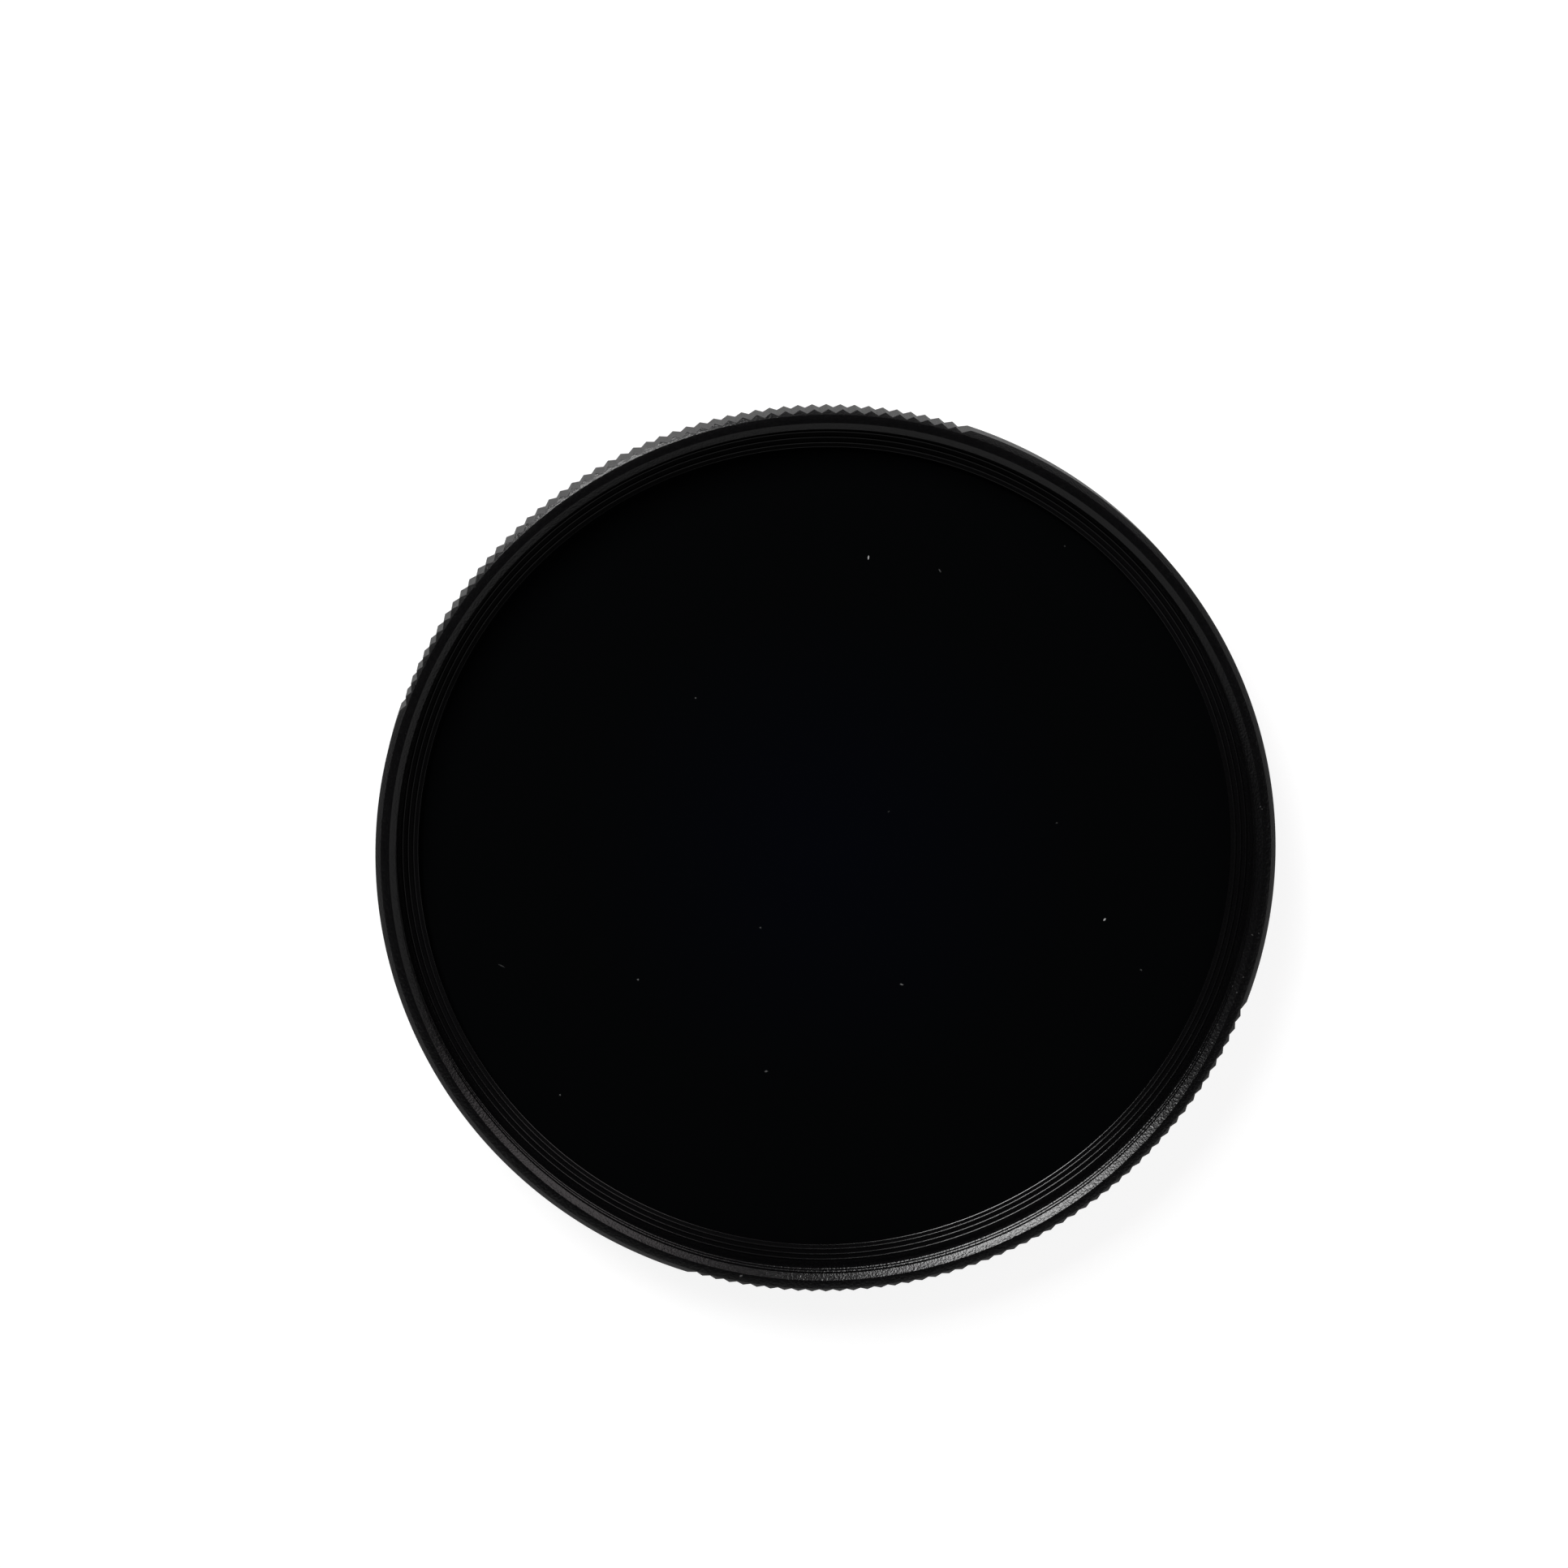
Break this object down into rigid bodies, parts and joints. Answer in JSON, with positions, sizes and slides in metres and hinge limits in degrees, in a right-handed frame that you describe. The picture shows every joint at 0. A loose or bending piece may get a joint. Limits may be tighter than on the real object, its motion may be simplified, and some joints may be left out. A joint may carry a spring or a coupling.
{
  "type": "neutral density filter",
  "caption": "Round screw-in lens filter: dark neutral glass in a black anodised ring with knurled grips, a threaded socket in front and a screw thread behind.",
  "frame": {"origin": "on the optical axis, at the rear end of the frame on which the filter lies", "axes": "+Z is the optical axis and points out of the front socket; the two knurled grips are centred on +X and -X"},
  "size_m": [0.0748, 0.075, 0.007],
  "materials": {
    "black_anodised": "bead-blasted and black anodised, fine grain",
    "dark_glass": "polished, deep neutral tint, low-reflection coating"
  },
  "bodies": {
    "root": {"filter_frame": "black_anodised", "nd_glass": "dark_glass", "retaining_ring": "black_anodised"}
  },
  "joints": []
}
